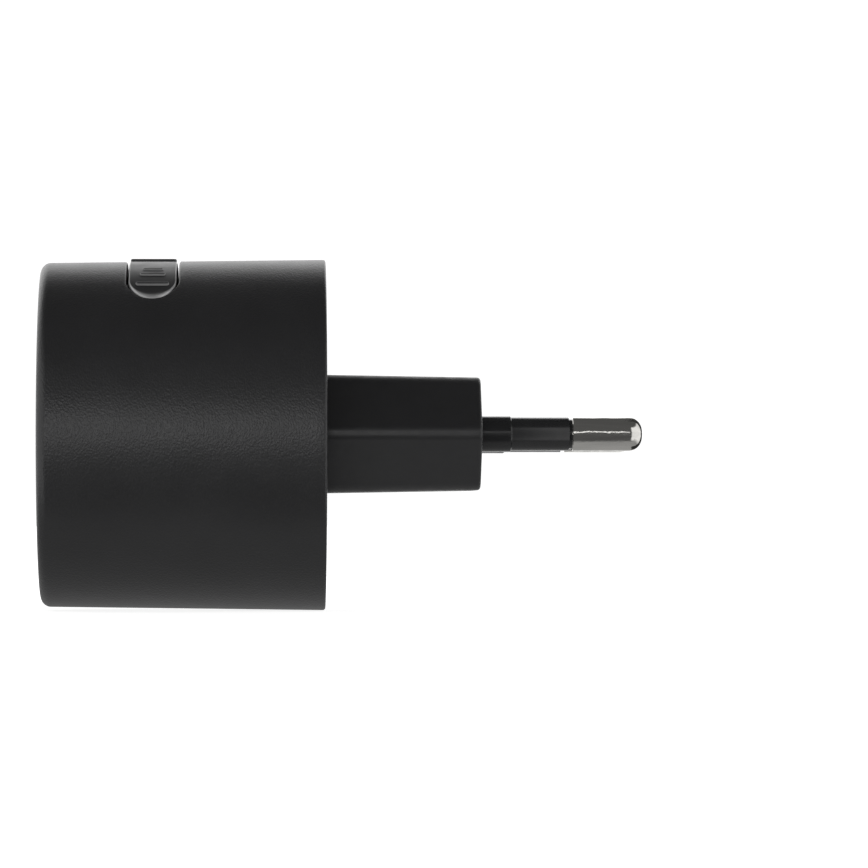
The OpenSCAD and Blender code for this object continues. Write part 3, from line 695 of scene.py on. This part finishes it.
def plug_outline(x, height, shrink, steps=8):
    """Ring of the six-sided plug outline at x; its slopes lie on |y| + |z| = slope."""
    diagonal = math.sqrt(2)
    corner = max(BLOCK_CORNER_R - shrink, 0.3)
    side = max(BLOCK_SIDE_R - shrink, 0.3)
    side_z = max(BLOCK_SIDE_FLAT / 2 - shrink * math.tan(math.radians(22.5)), 0.05)
    slope = (BLOCK_W / 2 - BLOCK_SIDE_R + BLOCK_SIDE_FLAT / 2
             + (BLOCK_SIDE_R - shrink) * diagonal)
    corner_z = height / 2 - shrink - corner
    quarter = (arc((slope - side * diagonal - side_z, side_z), side, 0, 45, steps)
               + arc((slope - corner * diagonal - corner_z, corner_z), corner, 45, 90, steps))
    upper = quarter + [(-y, z) for y, z in reversed(quarter)]
    outline = upper + [(y, -z) for y, z in reversed(upper)]
    return [(x, y, z) for y, z in outline]


def make_rear_cover():
    """The back plate and the hollow plug block, with holes for the pins and screws."""
    edge = 0.4
    chamfer = 0.12
    boss_r, bore_r, mouth_r = 2.25, 2.13, 2.25
    pilot_r, screw_r, head_r = 0.95, 1.1, 2.0
    disc = revolve([(PLATE_R, PLATE_X), (PLATE_R, REAR_X - chamfer), (PLATE_R - chamfer, REAR_X)],
                   segments=192)
    obj = new_object("rear_cover_plug", *disc)
    rings = []
    steps = 24
    root_x = PLATE_X + 1
    for i in range(steps + 1):
        x = root_x + (-edge - root_x) * i / steps
        height = BLOCK_FACE_H + (BLOCK_H - BLOCK_FACE_H) * min(x / REAR_X, 1)
        rings.append(plug_outline(x, height, 0))
    for a in (math.radians(d) for d in range(15, 91, 15)):
        rings.append(plug_outline(-edge + edge * math.sin(a), BLOCK_FACE_H,
                                  edge * (1 - math.cos(a))))
    combine(obj, loft(rings), "UNION")
    combine(obj, loft([plug_outline(x, BLOCK_FACE_H, BLOCK_WALL)
                       for x in (PLATE_X - 1, -FACE_WALL)]))
    boss = revolve([(boss_r, -FACE_WALL - 1.2), (boss_r, -FACE_WALL + 0.1)], segments=48)
    combine(obj, boss, "UNION")
    pin_hole = revolve([(bore_r, -FACE_WALL - 1), (bore_r, -0.12), (mouth_r, 0.02),
                        (mouth_r, 1)], segments=64)
    holes = [leaned(pin_hole, side) for side in (-1, 1)]
    holes.append(revolve([(pilot_r, -6), (pilot_r, -0.6)], segments=32))
    head_seat = REAR_X - 1.3
    screw_hole = revolve([(screw_r, PLATE_X - 1), (screw_r, head_seat), (head_r, head_seat),
                          (head_r, REAR_X - 0.1), (head_r + 0.12, REAR_X + 0.02),
                          (head_r + 0.12, REAR_X + 1)], y=POST_RING_R, segments=48)
    holes += [turned(screw_hole, angle) for angle in POST_ANGLES]
    combine(obj, merged(holes))
    settle(obj, "case", "plug_plastic", ["rear_cover"])
    weigh_normals(obj)


def make_pins():
    """Both pins and their insulating sleeves, leaning towards each other."""
    neck, shank = 1.65, 2.0
    tip_x = 18.999
    tip_round = 1.6
    tail_x = -7.5
    sleeve_end = 10.4
    metal_x = sleeve_end + 0.37
    collar_end = 3.6
    foot = -FACE_WALL - 0.08
    flange_r, flange_back = 2.6, -3.12
    pin = ([(neck - 0.1, tail_x), (neck, tail_x + 0.1), (neck, flange_back),
            (flange_r - 0.1, flange_back), (flange_r, flange_back + 0.1), (flange_r, foot - 0.1),
            (flange_r - 0.1, foot), (neck, foot), (neck, metal_x),
            (shank - 0.06, metal_x), (shank, metal_x + 0.06)]
           + straight((shank, metal_x + 0.06), (shank, tip_x - tip_round), 8)
           + arc((shank - tip_round, tip_x - tip_round), tip_round, 0, 88, 16))
    cup = [(0.85, tail_x - 1), (0.85, tail_x + 2)]
    bore = neck + 0.01
    collar, sleeve = 2.09, 1.955
    cover = ([(bore, foot), (collar, foot), (collar, collar_end - 0.16)]
             + arc((collar - 0.08, collar_end - 0.12), 0.08, 0, 60, 3)
             + [(sleeve + 0.02, collar_end + 0.02), (sleeve, collar_end + 0.1),
                (sleeve, sleeve_end - 0.1), (sleeve - 0.03, sleeve_end - 0.03),
                (sleeve - 0.1, sleeve_end), (bore + 0.06, sleeve_end),
                (bore + 0.06, metal_x - 0.02), (bore, metal_x - 0.02)])
    for side, hand in ((-1, "left"), (1, "right")):
        metal = new_object(f"pin_metal_{hand}", *leaned(revolve(pin, segments=96), side))
        combine(metal, leaned(revolve(cup, segments=32), side))
        settle(metal, "case", "nickel", [f"pin_{hand}"])
        jacket = new_object(f"pin_jacket_{hand}",
                            *leaned(revolve(cover, closed=True, segments=96), side))
        settle(jacket, "case", "sleeve_plastic", [f"pin_sleeve_{hand}"])


# ---- rocker button ---------------------------------------------------------

def strip_cap(start, per_side, per_end, flipped):
    """Faces that close a ring of the button's outline along its long middle line."""
    half = per_side + per_end
    faces = []
    for i in range(per_side):
        faces.append((start + i, start + i + 1,
                      start + half + per_side - i - 1, start + half + per_side - i))
    ends = [list(range(start + per_side, start + half + 1)),
            list(range(start + half + per_side, start + 2 * half)) + [start]]
    faces += [tuple(end) for end in ends]
    return [face[::-1] for face in faces] if flipped else faces


def button_slab():
    """The curved top of the rocker, with a rounded upper edge."""
    per_side, per_end = 96, 40
    edge_w, edge_h = 0.22, 0.47
    insets = [(edge_w * (1 - math.cos(a)), edge_h * (1 - math.sin(a)))
              for a in (math.radians(d) for d in range(0, 91, 9))]
    near_middle = 2.78
    insets += [(inset, 0.0) for inset in (0.55, 0.9, 1.4, 1.9, 2.3, 2.6, near_middle)]

    def ring(inset, radius, drop):
        return [(ROCKER_X + x, y, drum(radius, y) - drop)
                for x, y in button_outline(-inset, per_side, per_end)]

    under = ROCKER_R - ROCKER_SKIN
    skirt, skirt_top = 0.06, 0.95
    rings = [ring(inset, under, 0) for inset in (near_middle, 1.9, 0.9, 0.1 - skirt)]
    rings += [ring(-skirt, under, -0.1), ring(-skirt, under, 0.08 - skirt_top),
              ring(0.0, under, -skirt_top)]
    rings += [ring(inset, ROCKER_R, drop) for inset, drop in insets]
    verts, faces = loft(rings)
    faces = faces[:-2]
    count = len(rings[0])
    faces += strip_cap(0, per_side, per_end, True)
    faces += strip_cap(len(verts) - count, per_side, per_end, False)
    return verts, faces


def raised_bar(y, length, width, height):
    """A small raised bar across the button."""
    corner = width / 2 - 0.01
    half_l, half_w = length / 2, width / 2
    rings = []
    for inset, rise in ((0, -0.2), (0, height * 0.45), (0.03, height * 0.75),
                        (0.08, height * 0.93), (0.14, height)):
        radius = max(corner - inset, 0.03)
        outline = []
        for sx, sy, first in ((1, 1, 0), (-1, 1, 90), (-1, -1, 180), (1, -1, 270)):
            centre = (sx * (half_l - inset - radius), sy * (half_w - inset - radius))
            outline += arc(centre, radius, first, first + 90, 5)
        rings.append([(ROCKER_X + a, y + b, drum(ROCKER_R + rise, y + b)) for a, b in outline])
    return loft(rings)


def raised_ring(y, outer, inner, height):
    """A small raised ring on the button."""
    profile = [(outer, -0.2), (outer, height * 0.5), (outer - 0.05, height * 0.85),
               (outer - 0.13, height), (inner + 0.13, height), (inner + 0.05, height * 0.85),
               (inner, height * 0.5), (inner, -0.2)]
    count = 48
    turns = [2 * math.pi * k / count for k in range(count)]
    rings = []
    for radius, rise in profile:
        rings.append([(ROCKER_X + radius * math.cos(t), y + radius * math.sin(t),
                       drum(ROCKER_R + rise, y + radius * math.sin(t))) for t in turns])
    return loft(rings, ring_closed=True)


def make_rocker():
    """The button: curved top, lug with the axle's bore, two legs and the raised marks."""
    mark_h, mark_w, ridge_h = 0.16, 0.55, 0.33
    lug_half = 2.4
    lug_r = 1.3
    bore = 0.65
    leg_x, leg_y, leg_z = 1.4, 0.8, (14.75, 17.4)
    top = ROCKER_R - ROCKER_SKIN + 0.3
    obj = new_object("rocker_key", *button_slab())
    combine(obj, brick((ROCKER_X - lug_half, ROCKER_X + lug_half), (-lug_r, lug_r), (AXLE_Z, top)),
            "UNION")
    lug = revolve([(lug_r, ROCKER_X - lug_half), (lug_r, ROCKER_X + lug_half)], z=AXLE_Z)
    combine(obj, lug, "UNION")
    leg = brick((ROCKER_X - leg_x, ROCKER_X + leg_x), (LEG_Y - leg_y, LEG_Y + leg_y), leg_z)
    combine(obj, merged([leg, mirrored(leg)]), "UNION")
    combine(obj, revolve([(bore, ROCKER_X - 4), (bore, ROCKER_X + 4)], z=AXLE_Z, segments=32))
    marks = [raised_bar(-y, length, mark_w, mark_h)
             for y, length in ((6.9, 2.4), (8.5, 3.0), (10.75, 3.9))]
    marks.append(raised_bar(0.0, ROCKER_W - 0.2, RIDGE_W, ridge_h))
    marks.append(raised_ring(LEG_Y, 1.5, 0.95, mark_h))
    combine(obj, merged(marks), "UNION")
    settle(obj, "rocker", "button_abs", ["rocker_button"])


# ---- carried-over parts ----------------------------------------------------

REPLACED = {"housing", "front_grille", "grille_cloth", "light_guide", "rear_cover", "pin_left",
            "pin_right", "pin_sleeve_left", "pin_sleeve_right", "rocker_button", "rubber_keypad",
            "speaker_surround"}
ROUNDED = {"main_board", "button_board", "radio_board", "radio_shield", "transformer_core",
           "transformer_coil", "bridge_rectifier", "sound_chip", "small_resistors", "status_led",
           "pin_retainer", "board_header", "speaker_clamp"}


def give_way(node):
    """A soft part as a piece of its own, with its own copy of the CAD mesh."""
    obj = bpy.data.objects.new(f"{node}_soft", NODES[node].data.copy())
    obj.matrix_world = NODES[node].matrix_world.copy()
    bpy.context.scene.collection.objects.link(obj)
    settle(obj, "case", SLOT_OF[node], [node])
    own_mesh(obj)


def make_soft_parts():
    """The keypad under the rocker's legs, and the roll around the speaker cone."""
    give_way("rubber_keypad")
    give_way("speaker_surround")


def finish_cad_parts():
    """Procedural materials and smooth shading for the parts that stay as they are."""
    for name, obj in NODES.items():
        if name in REPLACED:
            continue
        obj.data.materials.clear()
        obj.data.materials.append(MATERIALS[SLOT_OF[name]])
        smooth(obj)
        if name in ROUNDED:
            soften_edges(obj, 0.07)


# ---- camera, lights and stage ----------------------------------------------

CAMERA_X = -26.9
CAMERA_BACK = 700.0
AIM_X = -5.1
CAMERA_Z = -9.0
AIM_Z = 0.12
VIEW_W = 102.95
SENSOR = 36.0

LIGHT_X = -24.0
TENT_OPEN_FROM, TENT_OPEN_TO = -0.95, -0.86
TENT_TOP_FROM, TENT_TOP_TO = 0.6, 0.72
TENT_LIGHT = 1.0
BACK_FROM, BACK_TO = 0.6, 0.95
BACK_LIGHT = 0.6
ROOM_LIGHT = 0.1
CARD_LIGHT = 0.38
CARD_END_FROM, CARD_END_TO = 55.0, 85.0
CARD_EDGE_FROM, CARD_EDGE_TO = 20.0, 34.0
FLOOR_HALF = 4000.0
FLOOR_NEAR, FLOOR_FAR = 30.0, 120.0
FLOOR_LIGHT, FLOOR_FAR_LIGHT = 0.85, 0.4


def make_camera():
    """The camera's place and aim are fixed; its lens gives VIEW_W across at the object."""
    data = bpy.data.cameras.new("camera")
    data.sensor_width = SENSOR
    place = Vector((CAMERA_X, -CAMERA_BACK, CAMERA_Z))
    aim = Vector((AIM_X, 0, AIM_Z))
    data.lens = SENSOR * (aim - place).length / VIEW_W
    data.clip_start, data.clip_end = 0.01, 50
    camera = bpy.data.objects.new("camera", data)
    camera.location = place * MM
    camera.rotation_euler = (aim - place).to_track_quat("-Z", "Y").to_euler()
    bpy.context.scene.collection.objects.link(camera)
    bpy.context.scene.camera = camera


def softbox(name, azimuth, elevation, distance, side, radiance):
    """A square light facing the object, placed by direction: azimuth 0 is the camera's side."""
    turn, rise = math.radians(azimuth), math.radians(elevation)
    way = Vector((math.sin(turn) * math.cos(rise), -math.cos(turn) * math.cos(rise),
                  math.sin(rise)))
    data = bpy.data.lights.new(name, "AREA")
    data.shape = "RECTANGLE"
    data.size = data.size_y = side * MM
    data.energy = radiance * math.pi * data.size * data.size_y
    lamp = bpy.data.objects.new(name, data)
    lamp.location = (Vector((LIGHT_X, 0, 0)) + way * distance) * MM
    lamp.rotation_euler = (-way).to_track_quat("-Z", "Y").to_euler()
    lamp.visible_camera = False
    bpy.context.scene.collection.objects.link(lamp)


def make_world():
    """A white tent, open towards the camera and overhead; the camera sees plain white."""
    world = bpy.data.worlds.new("studio")
    bpy.context.scene.world = world
    world.use_nodes = True
    tree = world.node_tree
    tree.nodes.clear()
    x, y, z = axes_of(tree, tree.nodes.new("ShaderNodeTexCoord").outputs["Generated"])
    flat = math_node(tree, "SQRT", math_node(tree, "ADD", math_node(tree, "MULTIPLY", x, x),
                                             math_node(tree, "MULTIPLY", y, y)))
    facing = math_node(tree, "DIVIDE", y, math_node(tree, "MAXIMUM", flat, 0.001))
    beside = ease(tree, facing, TENT_OPEN_FROM, TENT_OPEN_TO)
    rise = math_node(tree, "ABSOLUTE", z)
    low = math_node(tree, "SUBTRACT", 1.0, ease(tree, rise, TENT_TOP_FROM, TENT_TOP_TO))
    lit = math_node(tree, "MULTIPLY", beside, low)
    behind = math_node(tree, "MULTIPLY", ease(tree, facing, BACK_FROM, BACK_TO),
                       ease(tree, z, -0.1, 0.05))
    wall = math_node(tree, "MULTIPLY", lit, math_node(
        tree, "ADD", TENT_LIGHT, math_node(tree, "MULTIPLY", behind, BACK_LIGHT)))
    strength = math_node(tree, "ADD", wall, ROOM_LIGHT)
    room = tree.nodes.new("ShaderNodeBackground")
    link(tree, strength, room.inputs["Strength"])
    seen = tree.nodes.new("ShaderNodeBackground")
    seen.inputs["Strength"].default_value = 1.1
    for background in (room, seen):
        background.inputs["Color"].default_value = (1, 1, 1, 1)
    camera_ray = tree.nodes.new("ShaderNodeLightPath").outputs["Is Camera Ray"]
    output = tree.nodes.new("ShaderNodeOutputWorld")
    link(tree, mix_shaders(tree, camera_ray, room.outputs["Background"],
                           seen.outputs["Background"]), output.inputs["Surface"])


def make_floor():
    """Pale floor that lights the object from close by, fades to white and is clear from below."""
    half, level = FLOOR_HALF, housing_low.z - 0.02
    obj = new_object("floor", [(-half, -half, level), (half, -half, level),
                               (half, half, level), (-half, half, level)], [(0, 1, 2, 3)])
    mat, tree, shader, place = surface("floor_paper", (0.5, 0.5, 0.5), 0.9, specular=0.0,
                                       shade=0.01, mottle=60.0)
    x, y, _ = axes_of(tree, place)
    x = math_node(tree, "ABSOLUTE", math_node(tree, "SUBTRACT", x, LIGHT_X * MM))
    y = math_node(tree, "ABSOLUTE", y)
    fade = ease(tree, math_node(tree, "MAXIMUM", x, y), FLOOR_NEAR * MM, FLOOR_FAR * MM)
    glow = tree.nodes.new("ShaderNodeEmission")
    far_light = math_node(tree, "MULTIPLY", fade, FLOOR_FAR_LIGHT)
    link(tree, math_node(tree, "ADD", far_light, FLOOR_LIGHT), glow.inputs["Strength"])
    shown = tree.nodes.new("ShaderNodeAddShader")
    link(tree, shader.outputs["BSDF"], shown.inputs[0])
    link(tree, glow.outputs["Emission"], shown.inputs[1])
    card = tree.nodes.new("ShaderNodeEmission")
    card.inputs["Strength"].default_value = CARD_LIGHT
    clear = tree.nodes.new("ShaderNodeBsdfTransparent").outputs["BSDF"]
    edge = math_node(tree, "MAXIMUM", ease(tree, x, CARD_END_FROM * MM, CARD_END_TO * MM),
                     ease(tree, y, CARD_EDGE_FROM * MM, CARD_EDGE_TO * MM))
    glimpsed = mix_shaders(tree, edge, card.outputs["Emission"], clear)
    camera_ray = tree.nodes.new("ShaderNodeLightPath").outputs["Is Camera Ray"]
    above = mix_shaders(tree, camera_ray, glimpsed, shown.outputs["Shader"])
    from_below = tree.nodes.new("ShaderNodeNewGeometry").outputs["Backfacing"]
    output = tree.nodes["Material Output"]
    link(tree, mix_shaders(tree, from_below, above, clear), output.inputs["Surface"])
    obj.data.materials.append(mat)


def make_flag():
    """A black card beyond the pins, seen only in the reflections on bright metal."""
    x = pin_high.x + 4.5
    near_y, far_y = -6.5, 12
    low_z, high_z = housing_low.z, 60
    obj = new_object("flag", [(x, near_y, low_z), (x, far_y, low_z), (x, far_y, high_z),
                              (x, near_y, high_z)], [(0, 1, 2, 3)])
    obj.data.materials.append(plain("flag_black", (0.02, 0.02, 0.02), 0.7))
    obj.visible_camera = False
    obj.visible_diffuse = False
    obj.visible_shadow = False


make_camera()
make_world()
make_floor()
make_flag()
softbox("key", -7.0, 3.5, 700, 210, 3.5)
softbox("pin_strip", 9.5, 12.5, 700, 90, 1.3)

make_housing()
make_housing_posts()
make_grille()
make_cloth()
make_light_guide()
make_rear_cover()
make_pins()
make_rocker()
make_soft_parts()
finish_cad_parts()

bpy.context.scene.view_settings.view_transform = "Standard"
